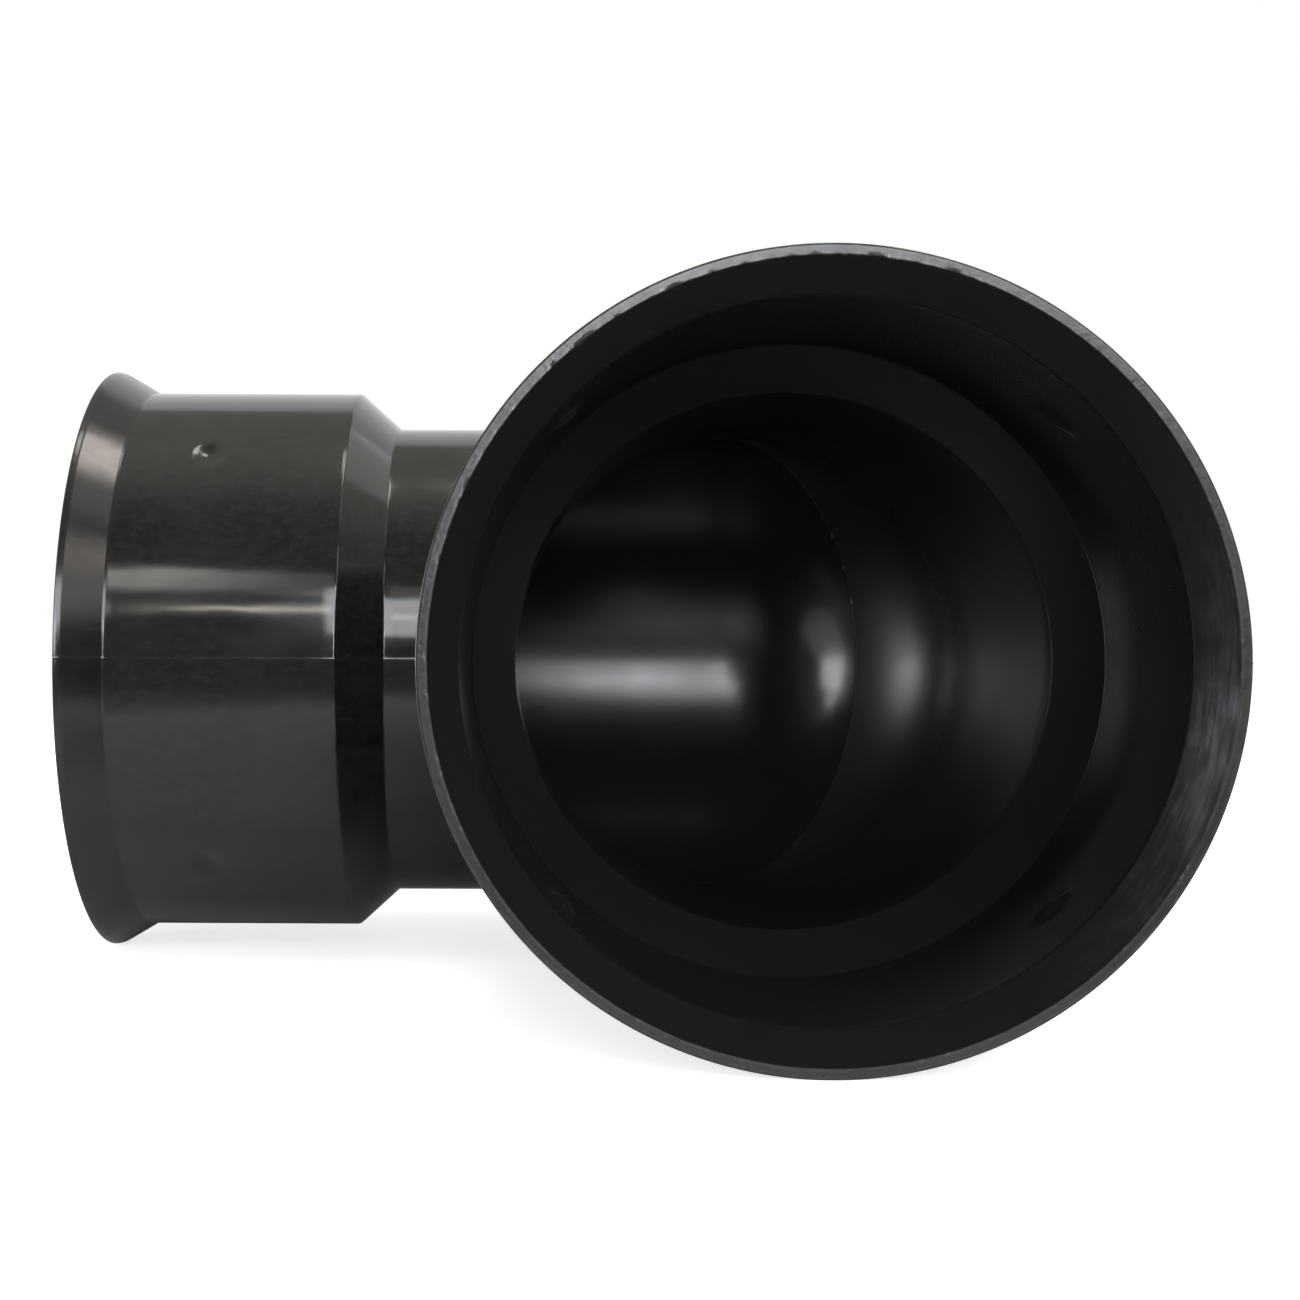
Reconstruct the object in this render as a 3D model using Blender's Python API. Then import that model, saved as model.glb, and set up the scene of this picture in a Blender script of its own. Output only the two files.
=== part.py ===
"""Drain pipe elbow, moulded in one piece from black polyethylene.

A quarter bend for drain pipe, with a socket on each leg. A socket is a straight bell
with a flared lip at its mouth, and a cone behind it that steps down to the neck. The
two necks meet in a tight corner, round on the outside of the bend. Inside, the two
cores of the mould met on the mitre plane and left a low ridge there. Four snap dents
round each bell hold the pipe. A fine flash line runs where the mould halves closed.

The elbow lies on its side on the floor: +Z is up and both axes are level. The near
leg points to -Y and the other leg to -X. The origin is under the middle of its box.
"""

import math

import bmesh
import bpy

MM = 0.001

# Legs and walls
LEG_LENGTH = 148.0 * MM        # from the crossing of the axes to a mouth face
WALL = 1.95 * MM
NECK_RADIUS = 54.85 * MM       # outside of the neck
BELL_RADIUS = 63.1 * MM        # outside of the bell
SOCKET_DRAFT = math.radians(0.5)

# Socket, measured from the mouth face along the leg
FLARE_LENGTH = 9.2 * MM
FLARE_RISE = 5.0 * MM          # lip radius over bell radius
LAND_LENGTH = 3.0 * MM         # the nearly straight band next to the mouth
LAND_RISE = 0.85 * MM
SOCKET_DEPTH = 57.5 * MM       # mouth face to the start of the cone
CONE_LENGTH = 9.1 * MM

# Edges
LIP_EDGE = 0.4 * MM
LAND_ROUND = 3.0 * MM
FLARE_ROUND = 1.5 * MM
CONE_ROUND = 1.5 * MM

# Corner
THROAT_RADIUS = 3.0 * MM       # outside fillet in the crook of the bend
RIDGE_HEIGHT = 5.8 * MM        # core ridge, in from the round of the bore
RIDGE_FADE = 0.6               # share of the bore radius over which the ridge dies away

# Snap dents
DENT_COUNT = 4
DENT_FROM_MOUTH = 28.0 * MM
DENT_LENGTH = 7.0 * MM         # along the leg
DENT_WIDTH = 10.0 * MM         # round the bell
DENT_DEPTH = 1.3 * MM

# Flash where the mould halves closed
FLASH_HEIGHT = 0.25 * MM
FLASH_WIDTH = 0.7 * MM

# Mesh fineness
SEGMENTS = 40
DENT_STEPS = (-1.0, -0.5, 0.0, 0.5, 1.0)
CORNER_STEPS = 5

LIP_RADIUS = BELL_RADIUS + FLARE_RISE

PLASTIC_COLOR = (0.013, 0.0125, 0.0115, 1.0)
PLASTIC_ROUGHNESS = 0.3


def clear_scene():
    """Remove whatever the opened file holds."""
    for item in list(bpy.data.objects):
        bpy.data.objects.remove(item, do_unlink=True)


def black_plastic():
    """Black polyethylene with the dull gloss of a polished mould."""
    material = bpy.data.materials.new("black_polyethylene")
    material.use_nodes = True
    shader = material.node_tree.nodes["Principled BSDF"]
    shader.inputs["Base Color"].default_value = PLASTIC_COLOR
    shader.inputs["Roughness"].default_value = PLASTIC_ROUGHNESS
    shader.inputs["Metallic"].default_value = 0.0
    return material


def outside_profile():
    """Corners of a leg's outside, as (distance from the mouth, radius)."""
    return [
        (0.0, LIP_RADIUS),
        (LAND_LENGTH, LIP_RADIUS - LAND_RISE),
        (FLARE_LENGTH, BELL_RADIUS),
        (SOCKET_DEPTH, BELL_RADIUS),
        (SOCKET_DEPTH + CONE_LENGTH, NECK_RADIUS),
        (LEG_LENGTH, NECK_RADIUS),
    ]


def inward_normal(start, end):
    """Unit normal of a profile line, on the side of the axis."""
    along, rise = end[0] - start[0], end[1] - start[1]
    length = math.hypot(along, rise)
    return rise / length, -along / length


def inside_profile(outside):
    """The outside moved in by the wall, with the core's draft in the socket."""
    normals = [inward_normal(a, b) for a, b in zip(outside, outside[1:])]
    points = []
    for index, (distance, radius) in enumerate(outside):
        first = normals[max(index - 1, 0)]
        second = normals[min(index, len(normals) - 1)]
        share = WALL / (1.0 + first[0] * second[0] + first[1] * second[1])
        points.append((distance + share * (first[0] + second[0]), radius + share * (first[1] + second[1])))
    points[0] = mouth_point(points[0], points[1])
    front, back = points[2], points[3]
    taper = math.tan(SOCKET_DRAFT) * (back[0] - front[0]) / 2
    points[2] = (front[0], front[1] + taper)
    points[3] = (back[0], back[1] - taper)
    return points


def mouth_point(first, second):
    """Where the line through two profile points meets the mouth face."""
    slope = (second[1] - first[1]) / (second[0] - first[0])
    return 0.0, first[1] - slope * first[0]


def rounded(points, radii):
    """Profile whose corners are cut back to an arc's ends and its middle."""
    result = [points[0]]
    for before, corner, after, radius in zip(points, points[1:], points[2:], radii):
        result.extend(corner_arc(before, corner, after, radius))
    result.append(points[-1])
    return result


def corner_arc(before, corner, after, radius):
    """Three points of the arc of that radius, tangent to both lines of a corner."""
    back = unit(before[0] - corner[0], before[1] - corner[1])
    ahead = unit(after[0] - corner[0], after[1] - corner[1])
    half = math.acos(max(-1.0, min(1.0, back[0] * ahead[0] + back[1] * ahead[1]))) / 2
    reach = radius / math.tan(half)
    middle = unit(back[0] + ahead[0], back[1] + ahead[1])
    inset = radius / math.sin(half) - radius
    return [
        (corner[0] + back[0] * reach, corner[1] + back[1] * reach),
        (corner[0] + middle[0] * inset, corner[1] + middle[1] * inset),
        (corner[0] + ahead[0] * reach, corner[1] + ahead[1] * reach),
    ]


def unit(along, rise):
    """The direction of (along, rise) with length one."""
    length = math.hypot(along, rise)
    return along / length, rise / length


def with_lip_edge(points, side):
    """Break the sharp edge at the mouth. Side is 1 outside and -1 inside."""
    start, after = points[0], points[1]
    direction = unit(after[0] - start[0], after[1] - start[1])
    on_face = (0.0, start[1] - side * LIP_EDGE)
    on_flare = (start[0] + direction[0] * LIP_EDGE, start[1] + direction[1] * LIP_EDGE)
    return [on_face, on_flare] + points[1:]


def radius_at(points, distance):
    """Radius of a profile at a distance from the mouth."""
    for (d0, r0), (d1, r1) in zip(points, points[1:]):
        if d0 <= distance <= d1:
            return r0 + (r1 - r0) * (distance - d0) / (d1 - d0)
    raise ValueError("the profile does not reach that far")


def with_dent_stations(points):
    """Add the rings that carry the snap dents."""
    stations = [DENT_FROM_MOUTH + step * DENT_LENGTH / 2 for step in DENT_STEPS]
    added = [(station, radius_at(points, station)) for station in stations]
    return sorted(points + added)


def leg_profile(corners, side):
    """All rings of one skin of a leg, without the last one at the crossing."""
    radii = [LAND_ROUND, FLARE_ROUND, CONE_ROUND, CONE_ROUND]
    points = with_lip_edge(rounded(corners, radii), side)
    return with_dent_stations(points)[:-1]


def around():
    """Angles round the pipe, closer together at the dents and at the flash."""
    angles = {2 * math.pi * index / SEGMENTS for index in range(SEGMENTS)}
    dent_half = DENT_WIDTH / 2 / BELL_RADIUS
    flash_half = FLASH_WIDTH / 2 / BELL_RADIUS
    for dent in dent_angles():
        angles -= {angle for angle in angles if abs(angle - dent) < dent_half}
        angles |= {dent + step * dent_half for step in DENT_STEPS}
    for seam in (0.0, math.pi):
        angles |= {(seam + side * flash_half) % (2 * math.pi) for side in (-1, 1)}
    return sorted(angles)


def dent_angles():
    """The dents stand midway between the mould's parting plane and its pull."""
    return [2 * math.pi * (index + 0.5) / DENT_COUNT for index in range(DENT_COUNT)]


def dent_depth(distance, angle):
    """How far the bell is pushed in at a place, a smooth bowl inside each dent."""
    along = (distance - DENT_FROM_MOUTH) / (DENT_LENGTH / 2)
    depth = 0.0
    for dent in dent_angles():
        across = (angle - dent) * BELL_RADIUS / (DENT_WIDTH / 2)
        spread = along * along + across * across
        if spread < 1.0:
            depth = DENT_DEPTH * (1.0 - spread) ** 2
    return depth


def flash_at(angle):
    """Height of the flash, which stands only on the parting plane."""
    on_seam = min(abs(angle), abs(angle - math.pi)) < 1e-9
    return FLASH_HEIGHT if on_seam else 0.0


def leg_ring(distance, radius, angles, flash):
    """Ring of a leg's skin, about the crossing, on the leg that points to -Y."""
    ring = []
    for angle in angles:
        r = radius - dent_depth(distance, angle) + (flash_at(angle) if flash else 0.0)
        ring.append((r * math.cos(angle), distance - LEG_LENGTH, r * math.sin(angle)))
    return ring


def outside_bend(offset, radius):
    """Level slice of the corner's outside: where its arc starts, and the arc's radius."""
    if offset < 0.0:
        return offset - THROAT_RADIUS, THROAT_RADIUS, math.pi / 4
    return -THROAT_RADIUS, THROAT_RADIUS + offset, math.pi / 4


def inside_bend(offset, radius):
    """Level slice of the bore's corner: start, radius and sweep of its arc.

    Towards the outside of the bend each core ended in a nose that is rounder than the
    bend, so that the two noses meet at an angle and leave the ridge.
    """
    if offset < 0.0:
        fillet = THROAT_RADIUS - WALL * offset / radius
        return offset - fillet, fillet, math.pi / 4
    plain = THROAT_RADIUS * (1.0 - math.sqrt(0.5))
    full = RIDGE_HEIGHT * math.sqrt(0.5)
    rise = math.sin(math.pi / 2 * min(1.0, offset / (RIDGE_FADE * radius)))
    crest = offset * math.sqrt(0.5) - plain - (full - plain) * rise
    start = -THROAT_RADIUS * (1.0 - offset / radius)
    inset, run = offset - crest, crest - start
    nose = (run * run + inset * inset) / (2 * inset)
    return start, nose, math.atan2(run, nose - inset)


def bend_ring(share, radius, angles, bend, flash):
    """Ring of a skin's corner, from the leg's end at share 0 to the mitre at 1."""
    ring = []
    for angle in angles:
        r = radius + (flash_at(angle) if flash else 0.0)
        offset = r * math.cos(angle)
        start, arc, sweep = bend(offset, r)
        turn = share * sweep
        ring.append((offset - arc + arc * math.cos(turn), start + arc * math.sin(turn), r * math.sin(angle)))
    return ring


def half_skin(profile, radius, angles, bend, flash):
    """Rings of one skin from a mouth to the mitre plane."""
    rings = []
    for index, (distance, ring_radius) in enumerate(profile):
        rings.append(leg_ring(distance, ring_radius, angles, flash and index > 0))
    for step in range(CORNER_STEPS + 1):
        rings.append(bend_ring(step / CORNER_STEPS, radius, angles, bend, flash))
    return rings


def mirrored(ring):
    """The same ring on the other leg, across the mitre plane."""
    return [(y, x, z) for x, y, z in ring]


def whole_skin(half):
    """Rings from the near mouth through the corner to the other mouth."""
    return half + [mirrored(ring) for ring in reversed(half[:-1])]


def elbow_rings():
    """All rings in one closed round: out along the outside, back along the bore."""
    outside = outside_profile()
    inside = inside_profile(outside)
    angles = around()
    outer_half = half_skin(leg_profile(outside, 1), NECK_RADIUS, angles, outside_bend, True)
    bore_half = half_skin(leg_profile(inside, -1), NECK_RADIUS - WALL, angles, inside_bend, False)
    return whole_skin(outer_half) + list(reversed(whole_skin(bore_half)))


def make_elbow(material):
    """One closed body: every ring is joined to the next, and the last to the first."""
    mesh = bpy.data.meshes.new("pipe_elbow")
    body = bmesh.new()
    rings = [[body.verts.new(point) for point in ring] for ring in elbow_rings()]
    for ring, following in zip(rings, rings[1:] + rings[:1]):
        for index in range(len(ring)):
            after = (index + 1) % len(ring)
            body.faces.new((ring[index], ring[after], following[after], following[index]))
    bmesh.ops.recalc_face_normals(body, faces=body.faces[:])
    body.to_mesh(mesh)
    body.free()
    mesh.materials.append(material)
    mesh.shade_smooth()
    mesh.set_sharp_from_angle(angle=math.radians(28.0))
    elbow = bpy.data.objects.new("pipe_elbow", mesh)
    bpy.context.collection.objects.link(elbow)
    return elbow


def set_down(elbow):
    """Move the elbow from the crossing of its axes, so that its box stands on the origin."""
    places = [vertex.co for vertex in elbow.data.vertices]
    low = [min(place[axis] for place in places) for axis in range(3)]
    high = [max(place[axis] for place in places) for axis in range(3)]
    elbow.location = (-(low[0] + high[0]) / 2, -(low[1] + high[1]) / 2, -low[2])


def main():
    clear_scene()
    elbow = make_elbow(black_plastic())
    set_down(elbow)


main()
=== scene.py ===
"""Drain pipe elbow, dressed for its picture.

The elbow is one moulding of black polyethylene: two sockets, two necks and the corner
between them. Its whole skin is worked out here as one closed surface, at the places and
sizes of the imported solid, with the fine things that the solid leaves out: rounded edges,
the trimmed and nicked faces of the rims, the flash on the parting plane, the bowls of the
snap dents and the witness line where the two cores of the mould met.
"""

import logging
import math
from dataclasses import dataclass, field
from enum import Enum
from typing import Optional, Union

import bpy
import numpy as np
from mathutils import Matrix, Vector


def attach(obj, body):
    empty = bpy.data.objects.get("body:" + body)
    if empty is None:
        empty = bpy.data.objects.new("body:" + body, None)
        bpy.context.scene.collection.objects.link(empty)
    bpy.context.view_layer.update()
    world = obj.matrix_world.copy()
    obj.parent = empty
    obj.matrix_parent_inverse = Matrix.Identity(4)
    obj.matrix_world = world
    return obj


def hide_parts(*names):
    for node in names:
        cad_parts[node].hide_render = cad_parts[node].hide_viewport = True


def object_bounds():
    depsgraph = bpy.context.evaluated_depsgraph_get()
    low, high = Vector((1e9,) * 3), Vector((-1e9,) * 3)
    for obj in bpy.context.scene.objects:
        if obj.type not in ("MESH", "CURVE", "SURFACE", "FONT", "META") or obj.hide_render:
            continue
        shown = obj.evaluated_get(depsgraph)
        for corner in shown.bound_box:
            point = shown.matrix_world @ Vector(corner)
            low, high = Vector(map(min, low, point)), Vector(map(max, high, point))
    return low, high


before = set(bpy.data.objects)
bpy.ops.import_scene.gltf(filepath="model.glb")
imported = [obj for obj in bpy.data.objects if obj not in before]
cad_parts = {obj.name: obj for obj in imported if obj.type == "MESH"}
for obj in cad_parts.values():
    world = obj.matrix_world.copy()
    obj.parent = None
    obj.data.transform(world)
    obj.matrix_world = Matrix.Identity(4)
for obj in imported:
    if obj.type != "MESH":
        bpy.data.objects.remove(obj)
CAD_LOW, CAD_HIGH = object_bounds()

Array = np.ndarray
Color = tuple[float, float, float]
Socket = bpy.types.NodeSocket
Feed = Union[Socket, float, tuple]
Marks = dict[str, Socket]

MM = 0.001
NODE = "pipe_elbow"
BODY = "root"
HAIR = 1e-6
CLOSEST_ROWS = 0.1
SHARP_ANGLE = math.radians(24.0)
DAYLIGHT: Color = (0.93, 0.965, 1.0)
WARM_WHITE: Color = (1.0, 0.94, 0.88)

# What each point of the skin is marked with, from 0 to 1: the trimmed face, its torn
# edges, burrs, flash, the witness line with its painted glints, the bore, rubbed wear with
# a painted bluish sheen on it, and the duller corner.
MARKS = ("rim", "edge", "burr", "seam", "crease", "bore", "worn", "dull")

log = logging.getLogger("elbow")


class Side(Enum):
    """The two skins of the wall."""

    OUTSIDE = 1
    BORE = -1


class LegName(Enum):
    """The two legs of the elbow."""

    NEAR = "near"
    LEFT = "left"


def bell_curve(share: Array) -> Array:
    """The bell curve: e to the power of minus the share squared."""
    return np.exp(-(share**2))


@dataclass(frozen=True)
class SocketSizes:
    """Sizes of a leg in millimetres. Distances run from the mouth face along the leg."""

    leg_length: float = 148.0
    wall: float = 1.95
    neck_radius: float = 54.85
    bell_radius: float = 63.1
    draft: float = math.radians(0.5)
    flare_length: float = 9.2
    flare_rise: float = 5.0
    land_length: float = 1.4
    land_rise: float = 0.4
    socket_depth: float = 57.5
    cone_length: float = 9.1
    lip_edge: float = 0.4
    rounds: tuple[float, float, float, float] = (3.5, 1.5, 1.3, 1.0)
    bore_rounds: tuple[float, float, float, float] = (3.5, 1.5, 1.3, 0.5)

    @property
    def lip_radius(self) -> float:
        """Radius of the lip before its edge is broken."""
        return self.bell_radius + self.flare_rise

    @property
    def bore_radius(self) -> float:
        """Radius of the neck's bore."""
        return self.neck_radius - self.wall

    def corners(self, side: Side) -> Array:
        """Corners of one skin's profile, as rows of distance and radius.

        The bore's corners are the outside's, each moved in along the corner's bisector by
        the wall over the cosine of half the turn. The core's draft then turns the bell.

        Args:
            side: the skin.

        Returns:
            Six rows, from the mouth face to the crossing of the axes.
        """
        outside = np.array([
            (0.0, self.lip_radius),
            (self.land_length, self.lip_radius - self.land_rise),
            (self.flare_length, self.bell_radius),
            (self.socket_depth, self.bell_radius),
            (self.socket_depth + self.cone_length, self.neck_radius),
            (self.leg_length, self.neck_radius),
        ])
        if side is Side.OUTSIDE:
            return outside
        run = np.diff(outside, axis=0)
        run /= np.linalg.norm(run, axis=1, keepdims=True)
        normal = np.stack([run[:, 1], -run[:, 0]], axis=1)
        before = np.vstack([normal[:1], normal])
        after = np.vstack([normal, normal[-1:]])
        share = self.wall / (1.0 + np.sum(before * after, axis=1, keepdims=True))
        inside = outside + share * (before + after)
        slope = (inside[1, 1] - inside[0, 1]) / (inside[1, 0] - inside[0, 0])
        inside[0] = (0.0, inside[0, 1] - slope * inside[0, 0])
        taper = math.tan(self.draft) * (inside[3, 0] - inside[2, 0]) / 2.0
        inside[2, 1] += taper
        inside[3, 1] -= taper
        return inside


@dataclass(frozen=True)
class CornerSizes:
    """Sizes of the corner in millimetres, and how much duller its bore gets, leg by leg."""

    throat_radius: float = 3.0
    ridge_height: float = 5.8
    ridge_fade: float = 0.6
    witness_depth: float = 0.3
    witness_width: float = 0.5
    witness_shares: tuple[float, float] = (0.7, 0.3)
    waver_shares: tuple[float, float] = (0.85, 0.15)
    waver_waves: tuple[float, float] = (41.0, 17.0)
    near_dull: float = 1.0
    left_dull: float = -0.35

    def groove_at(self, turn: Array) -> Array:
        """How deep the witness line is, as a share of its full depth.

        It is the ridge's share, times a share that is greatest at the top of the leg,
        times one that wavers with the product of two sines of the angle.

        Args:
            turn: angles round the leg, as a row.

        Returns:
            The share at each angle.
        """
        ridge = np.clip(np.cos(turn) / self.ridge_fade, 0.0, 1.0)
        upper = self.witness_shares[0] + self.witness_shares[1] * np.sin(turn)
        waves = np.sin(self.waver_waves[0] * turn), np.sin(self.waver_waves[1] * turn)
        waver = self.waver_shares[0] + self.waver_shares[1] * waves[0] * waves[1]
        return ridge * upper * waver


@dataclass(frozen=True)
class DentSizes:
    """The snap dents: smooth bowls pushed into the bell from outside, in millimetres."""

    count: int = 4
    from_mouth: float = 28.0
    length: float = 9.0
    width: float = 11.0
    depth: float = 1.1
    softness: float = 2.5

    def angles(self) -> Array:
        """Angles of the dents' middles, halfway between the parting plane and the pull."""
        return 2.0 * np.pi * (np.arange(self.count) + 0.5) / self.count

    def depth_at(self, distance: Array, angle: Array, radius: float) -> Array:
        """How far the skin is pushed in.

        The bowl is the depth times one minus q, to the power of its softness, where q is
        the sum of the squares of the place's shares of the half length and half width.

        Args:
            distance: distances from the mouth face, as a column.
            angle: angles round the leg, as a row.
            radius: radius at which the width is measured.

        Returns:
            The depth at each place of the grid.
        """
        along = (distance - self.from_mouth) / (self.length / 2.0)
        across = (angle[..., None] - self.angles()) * radius / (self.width / 2.0)
        nearest = np.abs(across).min(axis=-1)
        bowl = np.clip(1.0 - along**2 - nearest**2, 0.0, 1.0)
        return self.depth * bowl**self.softness


@dataclass(frozen=True)
class FlashSizes:
    """The flash that stands where the mould halves closed, in millimetres."""

    height: float = 0.07
    width: float = 0.6
    waver: float = 0.5
    waves: tuple[float, float] = (0.9, 0.37)

    def height_at(self, distance: Array, angle: Array, radius: Array) -> Array:
        """Height of the flash: a tent over the parting plane, uneven along its run.

        Args:
            distance: distances from the mouth face, as a column.
            angle: angles round the leg, as a row.
            radius: radii of the rings, as a column.

        Returns:
            The height at each place of the grid.
        """
        off = np.abs(np.sin(angle)) * radius
        tent = np.clip(1.0 - off / (self.width / 2.0), 0.0, 1.0)
        ripple = np.sin(self.waves[0] * distance) * np.sin(self.waves[1] * distance + 1.0)
        return self.height * tent * (1.0 - self.waver * (0.5 + 0.5 * ripple))


def filleted(corners: Array, radii: Array, steps: int) -> Array:
    """A polyline whose inner corners are replaced by tangent arcs.

    An arc of radius r in a corner of half angle h touches both lines at r over tan h from
    the corner, and its centre lies r over sin h along the bisector. Its points stand at
    equal angles between the two touching points.

    Args:
        corners: rows of the polyline's corners.
        radii: one radius for each inner corner.
        steps: spans of each arc.

    Returns:
        Rows of the new polyline.
    """
    back = corners[:-2] - corners[1:-1]
    ahead = corners[2:] - corners[1:-1]
    back /= np.linalg.norm(back, axis=1, keepdims=True)
    ahead /= np.linalg.norm(ahead, axis=1, keepdims=True)
    half = np.arccos(np.clip(np.sum(back * ahead, axis=1), -1.0, 1.0)) / 2.0
    middle = back + ahead
    middle /= np.linalg.norm(middle, axis=1, keepdims=True)
    centre = corners[1:-1] + middle * (radii / np.sin(half))[:, None]
    spread = np.linspace(-1.0, 1.0, steps + 1)[None, :] * (np.pi / 2.0 - half)[:, None]
    turn = np.sign(middle[:, 0] * ahead[:, 1] - middle[:, 1] * ahead[:, 0])
    sweep = spread * -turn[:, None]
    cosine, sine = np.cos(sweep), np.sin(sweep)
    out = -middle
    rays = np.stack([
        out[:, :1] * cosine - out[:, 1:] * sine,
        out[:, :1] * sine + out[:, 1:] * cosine,
    ], axis=-1)
    arcs = centre[:, None, :] + radii[:, None, None] * rays
    return np.vstack([corners[:1], arcs.reshape(-1, 2), corners[-1:]])


def refined(points: Array, stations: Array) -> Array:
    """The polyline with points added at more distances.

    Args:
        points: rows of distance and radius, with rising distance.
        stations: the distances to add.

    Returns:
        Rows of the finer polyline, with no added point closer to another than CLOSEST_ROWS.
    """
    distance = np.concatenate([points[:, 0], stations])
    distance = np.unique(np.round(distance, 4))
    own = np.isin(distance, np.round(points[:, 0], 4))
    before, after = np.diff(distance, prepend=-np.inf), np.diff(distance, append=np.inf)
    distance = distance[own | (np.minimum(before, after) > CLOSEST_ROWS)]
    return np.stack([distance, np.interp(distance, points[:, 0], points[:, 1])], axis=1)


@dataclass
class Sheet:
    """A grid of points of the skin, with what the finish needs to know at each of them."""

    place: Array
    mould: Array
    marks: dict[str, Array]

    @classmethod
    def marked(cls, local: Array, **given: Array) -> "Sheet":
        """A sheet of a leg's own coordinates, with the given marks and no others.

        Args:
            local: the points.
            given: marks by name, each of any shape that fits the grid.

        Returns:
            The sheet.
        """
        shape = local.shape[:2]
        marks = {name: np.broadcast_to(given.get(name, 0.0), shape) for name in MARKS}
        return cls(local, local.copy(), marks)

    @classmethod
    def joined(cls, sheets: list["Sheet"]) -> "Sheet":
        """One sheet with the rows of several, in order.

        Args:
            sheets: sheets with equal columns.

        Returns:
            The sheet.
        """
        return cls(
            np.concatenate([s.place for s in sheets]),
            np.concatenate([s.mould for s in sheets]),
            {name: np.concatenate([s.marks[name] for s in sheets]) for name in MARKS},
        )

    def rows(self, chosen: slice) -> "Sheet":
        """The same sheet with only some of its rows, or with them in another order."""
        marks = {name: mark[chosen] for name, mark in self.marks.items()}
        return Sheet(self.place[chosen], self.mould[chosen], marks)

    def reversed(self) -> "Sheet":
        """The same sheet with its rows in the other order."""
        return self.rows(slice(None, None, -1))

    @property
    def columns(self) -> int:
        """Points in a row."""
        return self.place.shape[1]


@dataclass
class Rounds:
    """Angles round a leg: even ones, with more of them at the dents and at the flash."""

    sizes: SocketSizes
    dents: DentSizes
    even: int = 152
    per_dent: int = 14
    dent_margin: float = 1.15
    flash_offsets: tuple[float, ...] = (-0.9, -0.35, -0.17, 0.0, 0.17, 0.35, 0.9)
    spare: float = 0.4
    parts: int = 5

    def coarse(self) -> Array:
        """The angles of the legs' rings.

        Even angles stand where no dent and no flash is nearer than a spare share of a step.
        Closer ones stand over each dent, and at set distances on both sides of the flash.

        Returns:
            The angles, from 0 up to a full turn.
        """
        angle = 2.0 * np.pi * np.arange(self.even) / self.even
        reach = self.dent_margin * self.dents.width / 2.0 / self.sizes.bell_radius
        step = 2.0 * np.pi / self.even
        middles = self.dents.angles()
        at_dent = (middles[:, None] + np.linspace(-reach, reach, self.per_dent)).ravel()
        offsets = np.array(self.flash_offsets) / self.sizes.bell_radius
        at_flash = (np.array([0.0, np.pi])[:, None] + offsets).ravel() % (2.0 * np.pi)
        clear_dent = np.abs(angle[:, None] - middles).min(axis=1) > reach + self.spare * step
        off_seam = np.abs(np.sin(angle)) > abs(offsets[0]) + self.spare * step
        return np.sort(np.concatenate([angle[clear_dent & off_seam], at_dent, at_flash]))

    def fine(self) -> Array:
        """The angles of the rims' rings: each span of the legs' angles in equal parts.

        Returns:
            The angles, from 0 up to a full turn.
        """
        angle = self.coarse()
        span = np.diff(angle, append=angle[0] + 2.0 * np.pi)
        shares = np.arange(self.parts) / self.parts
        return (angle[:, None] + span[:, None] * shares).ravel()


@dataclass
class Nicks:
    """Chips along the inner edge of a trimmed rim face, and where the rim is most ragged."""

    seed: int
    count: int = 240
    depth: float = 0.28
    depth_shares: tuple[float, float] = (0.1, 1.0)
    width: float = 0.65
    width_shares: tuple[float, float] = (0.4, 1.6)
    radius: float = 66.0
    turns: tuple[float, ...] = (-180.0, 55.0, 88.0, 150.0, 172.0, 180.0)
    shares: tuple[float, ...] = (0.2, 0.2, 1.0, 1.0, 0.3, 0.2)

    def ragged_at(self, angle: Array) -> Array:
        """How ragged the rim is, most at its upper left, where the knife left it."""
        turn = (np.degrees(angle) + 180.0) % 360.0 - 180.0
        return np.interp(turn, self.turns, self.shares)

    def along_edge(self, angle: Array) -> Array:
        """How far the edge is chipped out.

        Each chip is a bell curve of the distance along the edge, and they add up. The sum
        is less where the rim is less ragged.

        Args:
            angle: angles round the leg.

        Returns:
            The chips' depth in millimetres, one for each angle.
        """
        draw = np.random.default_rng(self.seed)
        middle = draw.uniform(0.0, 2.0 * np.pi, self.count)
        tall = self.depth * draw.uniform(*self.depth_shares, self.count) ** 2
        wide = self.width * draw.uniform(*self.width_shares, self.count)
        off = (angle[:, None] - middle + np.pi) % (2.0 * np.pi) - np.pi
        chips = np.sum(tall * bell_curve(off * self.radius / wide), axis=1)
        return chips * self.ragged_at(angle)


@dataclass(frozen=True)
class RimCut:
    """How a rim is trimmed, in millimetres: its crown, its flat face and its inner edge.

    The edge marks say how torn each ring is, from the outside over the face to the bore.
    """

    reach: float = 1.0
    behind_crown: float = 0.65
    crown_turns: tuple[float, ...] = (74.2, 60.0, 45.0, 30.0, 15.0, 0.0)
    inner_edge: float = 0.12
    face_shares: tuple[float, ...] = (0.1, 0.24, 0.5, 0.76, 0.9, 1.0)
    bore_rows: tuple[float, ...] = (0.1, 0.3, 0.6)
    bite_width: float = 0.35
    bite_depth: float = 0.6
    sink: float = 0.3
    sink_width: float = 0.25
    flash_start: float = 0.2
    face_depth: float = 0.02
    crown_marks: tuple[float, ...] = (0.0, 0.0, 0.0, 0.0, 0.2, 0.7, 1.0, 1.0)
    face_marks: tuple[float, ...] = (0.85, 0.2, 0.0, 0.2, 0.85, 1.0)
    bore_marks: tuple[float, ...] = (0.7, 0.1, 0.0, 0.0)
    burr_from: int = 3
    calm_edge: float = 0.4


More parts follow.
